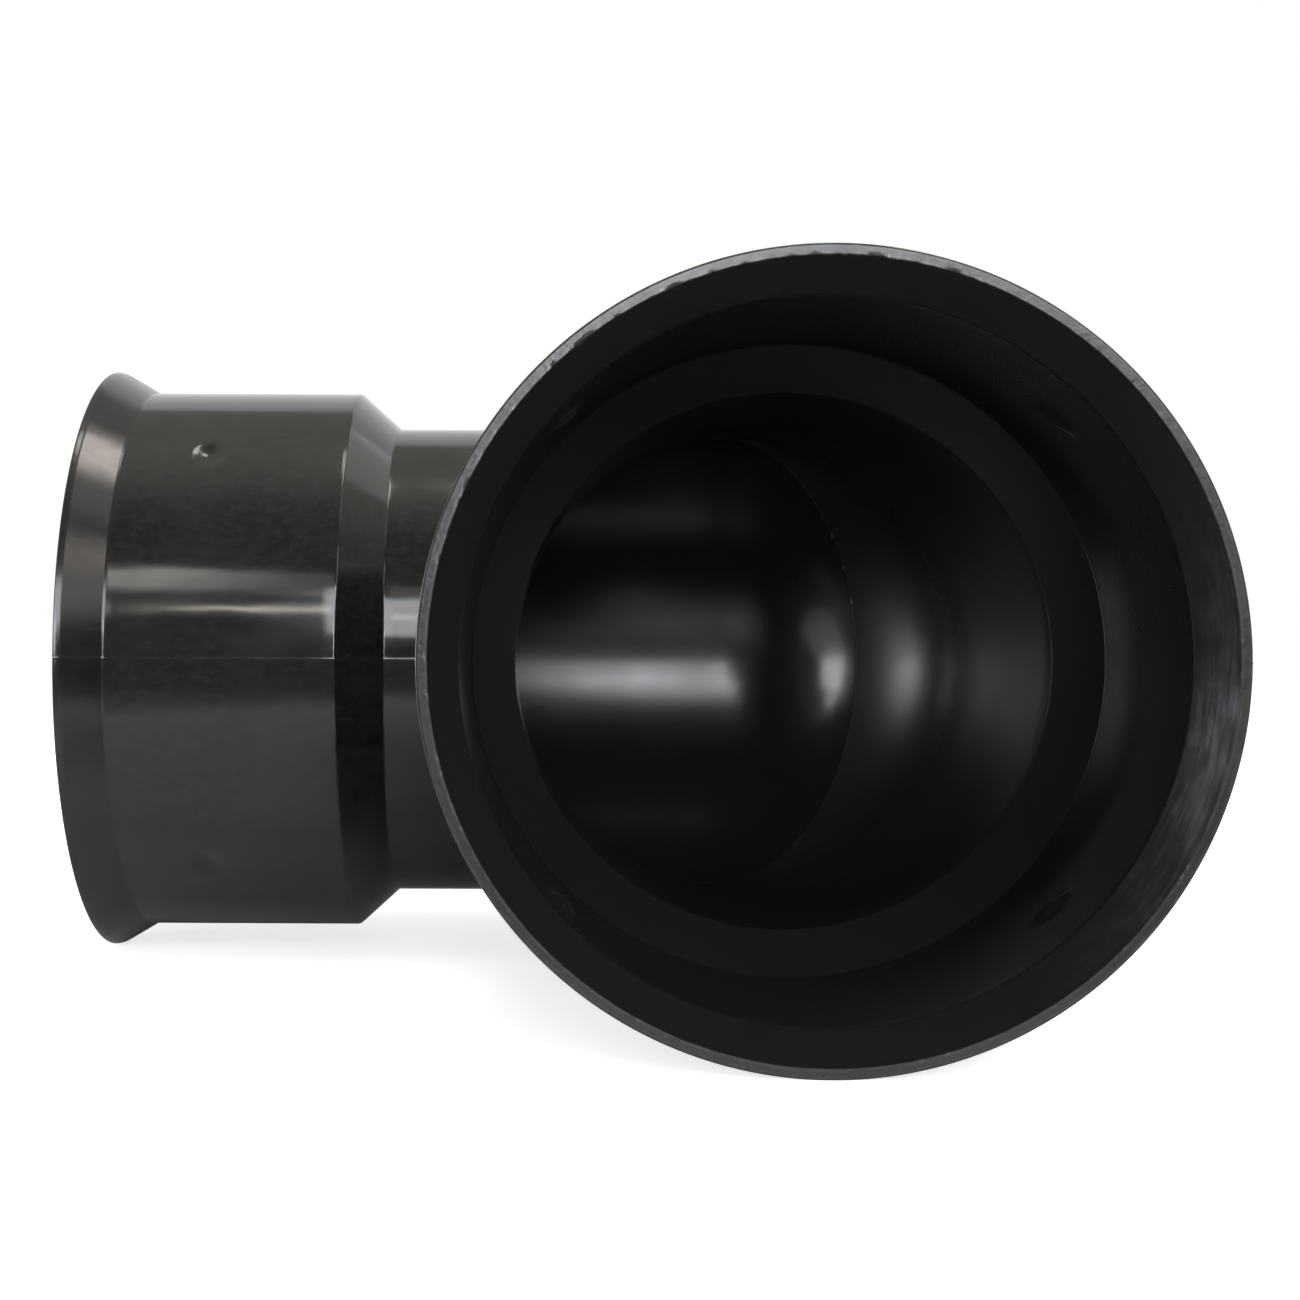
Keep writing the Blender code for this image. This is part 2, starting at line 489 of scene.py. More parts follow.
@dataclass(frozen=True)
class WearAndSheen:
    """The haze that pushed-in pipes have rubbed inside a flare, given by angle and depth. Its
    bluish colour is partly a painted sheen, laid on the side of the flare where light falls.
    """

    middle: float
    turns: tuple[float, ...] = (-38.0, -22.0, -8.0, 6.0, 16.0, 19.0, 34.0, 50.0, 70.0)
    amounts: tuple[float, ...] = (0.0, 0.06, 0.26, 0.72, 0.88, 0.32, 0.15, 0.04, 0.0)
    depths: tuple[float, ...] = (0.0, 0.4, 3.5, 8.2, 9.0)
    shares: tuple[float, ...] = (0.7, 1.0, 0.9, 0.55, 0.0)

    def amount_at(self, distance: Array, angle: Array) -> Array:
        """How worn the bore is, and how much painted sheen lies on it.

        Args:
            distance: distances from the mouth face, as a column.
            angle: angles round the leg, as a row.

        Returns:
            The amount at each place of the grid, from 0 to 1.
        """
        off = (np.degrees(angle) - self.middle + 180.0) % 360.0 - 180.0
        round_share = np.interp(off, self.turns, self.amounts)
        return round_share * np.interp(distance, self.depths, self.shares)


@dataclass
class Leg:
    """One leg of the elbow, worked out about the crossing of the axes and then placed.

    Rows stand at the rounded corners, closely over each dent, and in even steps between,
    clear of the dents and of the bell's two ends by the given margins.
    """

    name: LegName
    sizes: SocketSizes
    dents: DentSizes
    flash: FlashSizes
    nicks: Nicks
    wear_and_sheen_zone: WearAndSheen
    cut: RimCut = RimCut()
    arc_steps: int = 5
    dent_rows: int = 13
    dent_reach: float = 0.55
    dent_clearance: float = 0.6
    bell_step: float = 2.4
    bell_margins: tuple[float, float] = (2.0, 1.0)

    def profile(self, side: Side) -> Array:
        """The profile of one skin: its rounded corners, with rows at the dents and between.

        Args:
            side: the skin.

        Returns:
            Rows of distance and radius, from the mouth face to the neck.
        """
        sizes, dents = self.sizes, self.dents
        rounds = sizes.rounds if side is Side.OUTSIDE else sizes.bore_rounds
        points = filleted(sizes.corners(side), np.array(rounds), self.arc_steps)
        dent_shares = np.linspace(-self.dent_reach, self.dent_reach, self.dent_rows)
        dent = dents.from_mouth + dent_shares * dents.length
        bell_start = sizes.flare_length + self.bell_margins[0]
        bell = np.arange(bell_start, sizes.socket_depth - self.bell_margins[1], self.bell_step)
        bell = bell[np.abs(bell - dents.from_mouth) > self.dent_clearance * dents.length]
        rim = np.array([self.cut.reach])
        return refined(points, np.concatenate([rim, dent, bell]))[:-1]

    def ring_places(self, distance: Array, radius: Array, angle: Array) -> Array:
        """Points of rings: radius times cosine, distance less the leg, radius times sine.

        Args:
            distance: distances from the mouth face.
            radius: radii of the points.
            angle: angles round the leg, as a row.

        Returns:
            The points, in the leg's own coordinates.
        """
        across = radius * np.cos(angle)
        along = np.broadcast_to(distance - self.sizes.leg_length, across.shape)
        return np.stack([across, along, radius * np.sin(angle)], axis=-1)

    def tube(self, side: Side, angle: Array) -> Sheet:
        """The skin from the rim's zone to the start of the neck.

        Each point stands at its ring's radius, less the bowl of a dent, plus the flash.

        Args:
            side: the skin.
            angle: angles round the leg.

        Returns:
            The sheet, its rows running away from the mouth.
        """
        rows = self.profile(side)
        rows = rows[rows[:, 0] > self.cut.reach + CLOSEST_ROWS / 2.0]
        distance, ring = rows[:, :1], rows[:, 1:]
        turn = angle[None, :]
        tent = self.flash.height_at(distance, turn, ring)
        if side is Side.BORE:
            tent = np.zeros_like(tent)
        radius = ring - self.dents.depth_at(distance, turn, self.sizes.bell_radius) + tent
        local = self.ring_places(distance, radius, turn)
        if side is Side.OUTSIDE:
            return Sheet.marked(local, seam=tent / self.flash.height)
        return Sheet.marked(local, bore=1.0, worn=self.wear_and_sheen_zone.amount_at(distance, turn))

    def rim(self, angle: Array) -> Sheet:
        """The lip round the mouth, from the outside over the trimmed face into the bore.

        Args:
            angle: the finer angles round the leg.

        Returns:
            The sheet, its rows running from the outside to the bore.
        """
        cut, edge = self.cut, self.sizes.lip_edge
        outside, bore = self.profile(Side.OUTSIDE), self.profile(Side.BORE)
        crown = np.radians(np.array(cut.crown_turns))
        top = float(CAD_HIGH.z - CAD_LOW.z) / 2.0 / MM
        out_d = np.concatenate([[cut.reach, cut.behind_crown], edge * (1.0 - np.cos(crown))])
        out_r = np.interp(out_d, outside[:, 0], outside[:, 1])
        out_r[2:] = np.minimum(out_r[2:], top - edge + edge * np.sin(crown))
        inner = np.interp(0.0, bore[:, 0], bore[:, 1]) + cut.inner_edge
        face_r = out_r[-1] + (inner - out_r[-1]) * np.array(cut.face_shares)
        in_d = np.array(cut.bore_rows + (cut.reach,))
        in_r = np.interp(in_d, bore[:, 0], bore[:, 1])
        distance = np.concatenate([out_d, np.zeros(len(face_r)), in_d])[:, None]
        ring = np.concatenate([out_r, face_r, in_r])[:, None]
        turn = angle[None, :]
        chip = self.nicks.along_edge(angle)
        bite = bell_curve((ring - inner) / cut.bite_width) * bell_curve(distance / cut.bite_depth)
        sink = cut.sink * bell_curve((ring - inner) / cut.sink_width)
        has_flash = (distance > cut.flash_start) & (ring > out_r[-1])
        tent = self.flash.height_at(distance, turn, ring) * has_flash
        local = self.ring_places(distance + sink * chip, ring + bite * chip + tent, turn)
        edges = np.array(cut.crown_marks + cut.face_marks + cut.bore_marks)[:, None]
        ragged = self.nicks.ragged_at(angle)[None, :]
        in_bore = ring < inner - HAIR
        return Sheet.marked(
            local,
            rim=(distance < cut.face_depth) & (ring <= out_r[-1] + HAIR),
            edge=edges * (cut.calm_edge + (1.0 - cut.calm_edge) * ragged),
            burr=edges * ragged * (ring < face_r[cut.burr_from] + HAIR),
            seam=tent / self.flash.height,
            bore=in_bore,
            worn=self.wear_and_sheen_zone.amount_at(distance, turn) * in_bore,
        )

    def placed(self, sheet: Sheet) -> Sheet:
        """Puts a sheet in its place: the left leg is the near one with x and y exchanged.

        Args:
            sheet: a sheet in the leg's own coordinates.

        Returns:
            The same sheet.
        """
        if self.name is LegName.LEFT:
            sheet.place = sheet.place[..., [1, 0, 2]]
        return sheet


@dataclass
class Corner:
    """The necks and the corner between them, up to the mitre plane."""

    sizes: SocketSizes
    corner: CornerSizes
    flash: FlashSizes
    neck_steps: int = 12
    bend_steps: int = 12
    flash_run: float = 40.0
    closest_share: float = 1.6

    def outside_bend(self, offset: Array, radius: Array) -> tuple[Array, Array, Array]:
        """The outside's arc in each level slice, about the throat's radius on either side.

        Args:
            offset: distance from the axis towards the outside of the bend.
            radius: radius of the neck, on which this arc does not depend.

        Returns:
            Where the arc starts along the leg, its radius and its angle.
        """
        throat = self.corner.throat_radius
        crook = offset < 0.0
        start = np.where(crook, offset - throat, -throat)
        arc = np.where(crook, throat, throat + offset)
        return start, arc, np.full(offset.shape, np.pi / 4.0)

    def bore_bend(self, offset: Array, radius: Array) -> tuple[Array, Array, Array]:
        """Start, radius and sweep of the bore's arc in each level slice.

        Towards the outside of the bend each core ends in a round nose. The noses meet on
        the mitre plane at an angle, on a crest that lies in from the round of the bore.

        Args:
            offset: distance from the axis towards the outside of the bend.
            radius: radius of the bore.

        Returns:
            Where the arc starts along the leg, its radius and its angle.
        """
        throat = self.corner.throat_radius
        fillet = throat - self.sizes.wall * offset / radius
        plain = throat * (1.0 - math.sqrt(0.5))
        full = self.corner.ridge_height * math.sqrt(0.5)
        share = np.clip(offset / (self.corner.ridge_fade * radius), 0.0, 1.0)
        crest = offset * math.sqrt(0.5) - plain - (full - plain) * np.sin(np.pi / 2.0 * share)
        start = -throat * (1.0 - offset / radius)
        inset, run = offset - crest, crest - start
        nose = (run**2 + inset**2) / (2.0 * inset)
        crook = offset < 0.0
        return (
            np.where(crook, offset - fillet, start),
            np.where(crook, fillet, nose),
            np.where(crook, np.pi / 4.0, np.arctan2(run, nose - inset)),
        )

    def half(self, side: Side, angle: Array, neck_start: float, dull: float) -> Sheet:
        """The skin from the start of the neck, left out, to the mitre plane.

        The neck runs straight to where the arc of its level slice starts, in equal steps.
        A point of the arc stands at offset less arc plus arc times cosine across, and at
        start plus arc times sine along the leg. The last rows before the mitre plane stand
        at the witness line's width and at half of it. The last row of the bore is pushed
        out by the witness line's depth.

        Args:
            side: the skin.
            angle: angles round the leg.
            neck_start: distance of the neck's first ring from the mouth face.
            dull: how much duller this half gets towards the mitre plane.

        Returns:
            The sheet, its rows running from the neck to the mitre plane.
        """
        turn = angle[None, :]
        flat = 0.0 * turn
        in_bore = side is Side.BORE
        ring = self.sizes.bore_radius if in_bore else self.sizes.neck_radius
        straight = (np.arange(1, self.neck_steps) / self.neck_steps)[:, None]
        steps = (np.arange(self.bend_steps) / self.bend_steps)[:, None]
        halving = np.array([[1.0], [2.0]])
        run = np.concatenate([straight, np.ones((len(steps) + len(halving) + 1, 1))])
        tent = self.flash.height_at(run * self.flash_run, turn, np.array([[ring]]))
        if in_bore:
            tent = np.zeros_like(tent)
        offset = (ring + tent) * np.cos(turn)
        bend = self.bore_bend if in_bore else self.outside_bend
        start, arc, sweep = bend(offset, ring + tent)
        bow = (arc * sweep)[-1:]
        step = bow / self.bend_steps / self.closest_share
        close = np.minimum(self.corner.witness_width, step) / halving
        share = np.concatenate([0.0 * straight + flat, steps + flat, 1.0 - close / bow, 1.0 + flat])
        swing = share * sweep
        across = offset - arc + arc * np.cos(swing)
        first = neck_start - self.sizes.leg_length
        along = first + (start - first) * run + arc * np.sin(swing)
        groove = self.corner.groove_at(turn) if in_bore else flat
        row = np.arange(len(run))[:, None]
        last, beside = row == len(run) - 1, row == len(run) - 2
        push = self.corner.witness_depth * groove * last * math.sqrt(0.5)
        local = np.stack([across + push, along + push, (ring + tent) * np.sin(turn)], axis=-1)
        return Sheet.marked(
            local,
            seam=tent / self.flash.height,
            crease=groove * (beside + 0.5 * last),
            bore=float(in_bore),
            dull=dull * share if in_bore else 0.0,
        )


@dataclass
class Elbow:
    """The whole moulding as one closed mesh."""

    sizes: SocketSizes = field(default_factory=SocketSizes)
    corner: CornerSizes = field(default_factory=CornerSizes)
    dents: DentSizes = field(default_factory=DentSizes)
    flash: FlashSizes = field(default_factory=FlashSizes)

    def crossing(self) -> Array:
        """Where the legs' axes cross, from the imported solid's box.

        Returns:
            The point, in millimetres.
        """
        low, high = np.array(CAD_LOW) / MM, np.array(CAD_HIGH) / MM
        return np.array([
            low[0] + self.sizes.leg_length,
            low[1] + self.sizes.leg_length,
            (low[2] + high[2]) / 2.0,
        ])

    def legs(self) -> tuple[Leg, Leg]:
        """The two legs, alike but for their nicks and their wear, with its painted sheen.

        Returns:
            The near leg and the left leg.
        """
        alike = self.sizes, self.dents, self.flash
        near = Leg(LegName.NEAR, *alike, Nicks(seed=11), WearAndSheen(middle=-22.0))
        return near, Leg(LegName.LEFT, *alike, Nicks(seed=23), WearAndSheen(middle=205.0))

    def sheets(self) -> list[Sheet]:
        """The skin as four sheets in a closed round.

        They are the near rim, the bore from the near leg to the left one, the left rim and
        the outside back to the near leg. The rims have several times the legs' columns.

        Returns:
            The four sheets, in metres in the row frame.
        """
        rounds = Rounds(self.sizes, self.dents)
        coarse, fine = rounds.coarse(), rounds.fine()
        near, left = self.legs()
        near_rim = near.placed(near.rim(fine))
        left_rim = left.placed(left.rim(fine)).reversed()
        bore = self.skin(Side.BORE, coarse, near, left)
        outside = self.skin(Side.OUTSIDE, coarse, near, left).reversed()
        sheets = [near_rim, bore, left_rim, outside]
        for sheet in sheets:
            sheet.place = (sheet.place + self.crossing()) * MM
        return sheets

    def skin(self, side: Side, angle: Array, near: Leg, left: Leg) -> Sheet:
        """One skin between the rims, from the near leg over the corner to the left leg.

        Args:
            side: the skin.
            angle: angles round the legs.
            near: the near leg.
            left: the left leg.

        Returns:
            The sheet, its rows running from the near rim to the left one.
        """
        corner = Corner(self.sizes, self.corner, self.flash)
        first = near.placed(near.tube(side, angle))
        neck_start = float(near.profile(side)[-1, 0])
        bend = corner.half(side, angle, neck_start, self.corner.near_dull)
        other = corner.half(side, angle, neck_start, self.corner.left_dull)
        other.place = other.place[..., [1, 0, 2]]
        last = left.placed(left.tube(side, angle)).reversed()
        back = other.reversed().rows(slice(1, None))
        return Sheet.joined([first, bend, back, last])

    def mesh(self) -> bpy.types.Mesh:
        """The closed mesh, with its marks as attributes.

        Each sheet is a grid of quads, and its last row is stitched to the first row of the
        sheet that follows, the outside's to the near rim's.

        Returns:
            The mesh.
        """
        sheets = self.sheets()
        points = [sheet.place.shape[0] * sheet.columns for sheet in sheets]
        starts = np.concatenate([[0], np.cumsum(points)[:-1]])
        corners, lengths = [], []
        for index, sheet in enumerate(sheets):
            following = (index + 1) % len(sheets)
            corners.append(grid_faces(sheet.place.shape[0], sheet.columns, starts[index]))
            lengths.append(np.full(len(corners[-1]) // 4, 4))
            last_row = starts[index] + points[index] - sheet.columns
            next_row = starts[following]
            made, sides = stitch_faces(last_row, sheet.columns, next_row, sheets[following].columns)
            corners.append(made)
            lengths.append(sides)
        places = np.concatenate([sheet.place.reshape(-1, 3) for sheet in sheets])
        mesh = mesh_of("pipe_elbow_moulding", places, np.concatenate(corners), np.concatenate(lengths))
        mould = np.concatenate([sheet.mould.reshape(-1, 3) for sheet in sheets])
        add_vector(mesh, "mould", mould * MM)
        for name in MARKS:
            add_float(mesh, name, np.concatenate([sheet.marks[name].ravel() for sheet in sheets]))
        mesh.shade_smooth()
        mesh.set_sharp_from_angle(angle=SHARP_ANGLE)
        return mesh


def grid_faces(rows: int, columns: int, start: int) -> Array:
    """Corner numbers of a grid's quads, closed across its columns.

    Args:
        rows: rows of points.
        columns: points in a row.
        start: number of the grid's first point.

    Returns:
        Four numbers for each quad, one quad after another.
    """
    row = np.arange(rows - 1)[:, None] * columns
    column = np.arange(columns)[None, :]
    after = (column + 1) % columns
    below = row + columns
    quads = np.stack([row + column, row + after, below + after, below + column], axis=-1)
    return (quads + start).reshape(-1)


def stitch_faces(
    first: int, first_columns: int, second: int, second_columns: int
) -> tuple[Array, Array]:
    """Faces between two rows, of which one has an odd number of times the other's columns.

    Between two neighbours of the coarse row stand a fan about each of them and one quad.

    Args:
        first: number of the first row's first point.
        first_columns: points in the first row.
        second: number of the second row's first point.
        second_columns: points in the second row.

    Returns:
        The faces' corner numbers one after another, and the corners of each face.
    """
    to_coarse = first_columns > second_columns
    count = min(first_columns, second_columns)
    parts = max(first_columns, second_columns) // count
    coarse_start, fine_start = (second, first) if to_coarse else (first, second)
    at = np.arange(count)
    here, there = coarse_start + at, coarse_start + (at + 1) % count
    fine = fine_start + (parts * at[:, None] + np.arange(parts + 1)) % (parts * count)
    columns, sides = [], []
    for step in range(parts):
        face = [here if step <= parts // 2 else there, fine[:, step], fine[:, step + 1]]
        if step == parts // 2:
            face.append(there)
        columns += face if to_coarse else face[:1] + face[:0:-1]
        sides.append(len(face))
    return np.stack(columns, axis=1).reshape(-1), np.tile(sides, count)


def mesh_of(name: str, places: Array, corners: Array, sides: Array) -> bpy.types.Mesh:
    """A mesh from whole arrays.

    Args:
        name: the mesh's name.
        places: one row for each vertex.
        corners: the faces' vertex numbers, one face after another.
        sides: the number of corners of each face.

    Returns:
        The mesh.
    """
    mesh = bpy.data.meshes.new(name)
    mesh.vertices.add(len(places))
    mesh.vertices.foreach_set("co", places.astype(np.float32).ravel())
    mesh.loops.add(len(corners))
    mesh.loops.foreach_set("vertex_index", corners.astype(np.int32))
    mesh.polygons.add(len(sides))
    starts = np.concatenate([[0], np.cumsum(sides)[:-1]])
    mesh.polygons.foreach_set("loop_start", starts.astype(np.int32))
    mesh.update(calc_edges=True)
    mesh.validate(verbose=True)
    return mesh


def add_float(mesh: bpy.types.Mesh, name: str, values: Array) -> None:
    """Stores one number for each vertex."""
    attribute = mesh.attributes.new(name, "FLOAT", "POINT")
    attribute.data.foreach_set("value", values.astype(np.float32))


def add_vector(mesh: bpy.types.Mesh, name: str, values: Array) -> None:
    """Stores one vector for each vertex."""
    attribute = mesh.attributes.new(name, "FLOAT_VECTOR", "POINT")
    attribute.data.foreach_set("vector", values.astype(np.float32).ravel())


def opaque(color: Color) -> tuple[float, float, float, float]:
    """A colour with full alpha."""
    return (*color, 1.0)


@dataclass
class Graph:
    """A node tree, with short ways to add nodes and to join them."""

    tree: bpy.types.NodeTree

    def add(self, kind: str, **settings: object) -> bpy.types.Node:
        """Adds a node.

        Args:
            kind: the node's type.
            settings: the node's own settings, by name.

        Returns:
            The node.
        """
        node = self.tree.nodes.new(kind)
        for name, value in settings.items():
            setattr(node, name, value)
        return node

    def feed(self, socket: Socket, value: Feed) -> None:
        """Joins another node's output to an input, or sets the input's number or colour.

        Args:
            socket: the input.
            value: an output, or what the input is set to.
        """
        if isinstance(value, Socket):
            self.tree.links.new(value, socket)
        else:
            socket.default_value = value

    def math(self, operation: str, *values: Feed) -> Socket:
        """One step of arithmetic.

        Args:
            operation: the name of the step.
            values: its inputs in order, each an output or a number.

        Returns:
            The result.
        """
        node = self.add("ShaderNodeMath", operation=operation)
        for socket, value in zip(node.inputs, values):
            self.feed(socket, value)
        return node.outputs[0]

    def mixed(self, share: Feed, first: Feed, second: Feed) -> Socket:
        """A colour between two others.

        Args:
            share: the share of the second colour, from 0 to 1.
            first: the colour at 0.
            second: the colour at 1.

        Returns:
            The colour.
        """
        node = self.add("ShaderNodeMix", data_type="RGBA")
        self.feed(node.inputs[0], share)
        self.feed(node.inputs[6], first)
        self.feed(node.inputs[7], second)
        return node.outputs[2]

    def stepped(
        self, value: Feed, low: float, high: float, first: float = 0.0, last: float = 1.0
    ) -> Socket:
        """A smooth step from one number to another while the value goes from low to high.

        Args:
            value: the value.
            low: where the step starts.
            high: where the step ends.
            first: the result before the step.
            last: the result after the step.

        Returns:
            The result.
        """
        node = self.add("ShaderNodeMapRange", interpolation_type="SMOOTHSTEP")
        for index, given in enumerate((value, low, high, first, last)):
            self.feed(node.inputs[index], given)
        return node.outputs[0]

    def scaled(self, place: Feed, factors: tuple[float, float, float]) -> Socket:
        """A place with each of its coordinates multiplied.

        Args:
            place: the place.
            factors: one factor for each coordinate.

        Returns:
            The new place.
        """
        node = self.add("ShaderNodeVectorMath", operation="MULTIPLY")
        self.feed(node.inputs[0], place)
        self.feed(node.inputs[1], factors)
        return node.outputs[0]

    def mark(self, name: str) -> bpy.types.Node:
        """The node that reads one of the mesh's attributes."""
        return self.add("ShaderNodeAttribute", attribute_name=name)


@dataclass(frozen=True)
class Noise:
    """Smooth noise of so many waves to the metre, on coordinates that are scaled first."""

    scale: float
    detail: float = 2.0
    rough: float = 0.5
    factors: Optional[tuple[float, float, float]] = None

    def on(self, graph: Graph, place: Feed) -> Socket:
        """Makes the noise.

        Args:
            graph: the material's nodes.
            place: the coordinates.

        Returns:
            The noise, from 0 to 1.
        """
        node = graph.add("ShaderNodeTexNoise")
        graph.feed(node.inputs["Vector"], graph.scaled(place, self.factors) if self.factors else place)
        graph.feed(node.inputs["Scale"], self.scale)
        graph.feed(node.inputs["Detail"], self.detail)
        graph.feed(node.inputs["Roughness"], self.rough)
        return node.outputs["Fac"]


@dataclass(frozen=True)
class Speckle:
    """Noise past a smooth threshold, as grain, blotches, scratches or specks."""

    noise: Noise
    low: float
    high: float
    first: float = 0.0
    last: float = 1.0

    def on(self, graph: Graph, place: Feed) -> Socket:
        """The noise's step from low to high, which goes from the first number to the last."""
        return graph.stepped(self.noise.on(graph, place), self.low, self.high, self.first, self.last)


@dataclass(frozen=True)
class Polyethylene:
    """Black polyethylene as the mould left it.

    The outside is glossy and the bore duller. Streaks run along each leg, where the mould
    drew off, and faint clouds lie over them. Trimmed rims are dull and grey, burrs and the
    flash are pale, and handling has scuffed the inside of the flares. The rubbed haze inside
    the flares carries a painted bluish sheen, and pale specks on the witness line are painted
    glints. Patterns read the mould's own coordinates, in which each leg runs along Y from the
    crossing of the axes.
    """

    color: Color = (0.0050, 0.0047, 0.0043)
    dusty_color: Color = (0.0098, 0.0093, 0.0085)
    bore_color: Color = (0.0085, 0.0083, 0.0080)
    cut_color: Color = (0.013, 0.013, 0.0136)
    edge_color: Color = (0.040, 0.040, 0.040)
    # Pale colour of the burrs, which also paints the glints on the witness line.
    burr_and_glint_color: Color = (0.17, 0.165, 0.16)
    scuff_color: Color = (0.0072, 0.0072, 0.0076)
    # Colour of the rubbed haze: wear, and a painted bluish sheen where light falls in the flare.
    wear_and_sheen_color: Color = (0.125, 0.134, 0.142)
    seam_color: Color = (0.0095, 0.0092, 0.0088)
    roughness: float = 0.12
    bore_roughness: float = 0.24
    cut_roughness: float = 0.22
    scuff_roughness: float = 0.20
    worn_roughness: float = 0.42
    dull_roughness: float = 0.17
    least_roughness: float = 0.06
    streak_outside: float = 0.12
    streak_bore: float = 0.03
    cloud: float = 0.12
    relief: float = 0.00003
    streak_relief: float = 0.14
    bore_relief: float = 0.15
    outside_relief: float = 1.15
    torn_relief: float = 1.3
    specular: float = 0.5
    scuff_start: float = -0.1375
    scuff_full: float = -0.1395
    streaks: Noise = Noise(420.0, 1.0, factors=(1.0, 0.05, 1.0))
    clouds: Noise = Noise(60.0, 3.0)
    dust: Noise = Noise(420.0, 2.0, 0.6, (1.0, 0.5, 1.0))
    dust_step: tuple[float, float] = (0.16, 0.42)
    grain: Speckle = Speckle(Noise(620.0, 2.0, 0.6, (1.0, 0.6, 1.0)), 0.46, 0.62, last=0.9)
    haze: Speckle = Speckle(Noise(75.0, factors=(1.0, 0.4, 1.0)), 0.30, 0.75, first=0.6)
    blotches: Speckle = Speckle(Noise(190.0, 3.0, 0.55), 0.30, 0.72, first=0.45)
    scratches: Speckle = Speckle(Noise(1300.0, 1.0, factors=(0.12, 1.0, 0.12)), 0.35, 0.65, first=0.5)
    torn: Speckle = Speckle(Noise(330.0, 2.0, 0.6), 0.32, 0.62, first=0.25)
    clusters: Speckle = Speckle(Noise(34.0, 1.0), 0.44, 0.56)
    specks: Speckle = Speckle(Noise(760.0, 0.0), 0.66, 0.72)
    # Noise of the painted glints on the witness line.
    glints: Speckle = Speckle(Noise(800.0, 0.0), 0.68, 0.78)
    waves: Noise = Noise(170.0, 1.0, factors=(1.0, 0.45, 1.0))
    tears: Noise = Noise(800.0, 1.0, 0.6)

    def material(self) -> bpy.types.Material:
        """Builds the material.

        Returns:
            The material.
        """
        material = bpy.data.materials.new("black_polyethylene")
        material.use_nodes = True
        graph = Graph(material.node_tree)
        shader = material.node_tree.nodes["Principled BSDF"]
        shader.inputs["Specular IOR Level"].default_value = self.specular
        place = graph.mark("mould").outputs["Vector"]
        marks = {name: graph.mark(name).outputs["Fac"] for name in MARKS}
        streaks, clouds = self.streaks.on(graph, place), self.clouds.on(graph, place)
        marks["scuff"] = self.scuffs(graph, place)
        # The rubbed haze carries a painted sheen as well as wear.
        marks["worn"] = self.rubbed_with_sheen(graph, place, marks["worn"])
        marks["open"] = graph.math("SUBTRACT", 1.0, marks["bore"])
        graph.feed(shader.inputs["Base Color"], self.colors(graph, place, marks, clouds))
        graph.feed(shader.inputs["Roughness"], self.dullness(graph, marks, streaks, clouds))
        graph.feed(shader.inputs["Normal"], self.bump(graph, place, marks, streaks))
        return material

    def scuffs(self, graph: Graph, place: Feed) -> Socket:
        """Wear on the flares: a haze with noise past a threshold in it, ending behind them.

        Args:
            graph: the material's nodes.
            place: the mould's own coordinates.

        Returns:
            The share of the wear.
        """
        along = graph.add("ShaderNodeSeparateXYZ")
        graph.feed(along.inputs[0], place)
        near_mouth = graph.stepped(along.outputs[1], self.scuff_start, self.scuff_full)
        return graph.math("MULTIPLY", near_mouth, self.haze.on(graph, place))

    def rubbed_with_sheen(self, graph: Graph, place: Feed, worn: Feed) -> Socket:
        """The rubbed haze and its painted sheen: the zone broken up by blotches and by fine scratches.

        Args:
            graph: the material's nodes.
            place: the mould's own coordinates.
            worn: how worn the zone is, and how much painted sheen lies on it.

        Returns:
            The share of the haze.
        """
        broken = graph.math("MULTIPLY", self.blotches.on(graph, place), self.scratches.on(graph, place))
        return graph.math("MULTIPLY", worn, broken)

    def colors(self, graph: Graph, place: Feed, marks: Marks, clouds: Feed) -> Socket:
        """The colour: the plastic's, with dust, wear and its painted sheen, the flash, the cut faces,
        the burrs and the painted glints on the witness line.

        Args:
            graph: the material's nodes.
            place: the mould's own coordinates.
            marks: the mesh's marks by name, and those worked out from them.
            clouds: the faint clouds.

        Returns:
            The colour.
        """
        dust = graph.math("MULTIPLY", clouds, self.dust.on(graph, place))
        dust = graph.math("MAXIMUM", graph.stepped(dust, *self.dust_step), self.grain.on(graph, place))
        color = opaque(self.color)
        for share, next_color in (
            (graph.math("MULTIPLY", dust, marks["open"]), self.dusty_color),
            (marks["bore"], self.bore_color),
            (marks["scuff"], self.scuff_color),
            # The rubbed haze paints a bluish sheen over the wear inside the flare.
            (marks["worn"], self.wear_and_sheen_color),
            (marks["seam"], self.seam_color),
            (marks["rim"], self.cut_color),
            (graph.math("MULTIPLY", marks["edge"], self.torn.on(graph, place)), self.edge_color),
        ):
            color = graph.mixed(share, color, opaque(next_color))
        specks = graph.math("MULTIPLY", self.specks.on(graph, place), self.clusters.on(graph, place))
        burrs = graph.math("MULTIPLY", specks, marks["burr"])
        # Pale specks along the witness line are painted glints.
        glints = graph.math("MULTIPLY", self.glints.on(graph, place), marks["crease"])
        return graph.mixed(graph.math("MAXIMUM", burrs, glints), color, opaque(self.burr_and_glint_color))

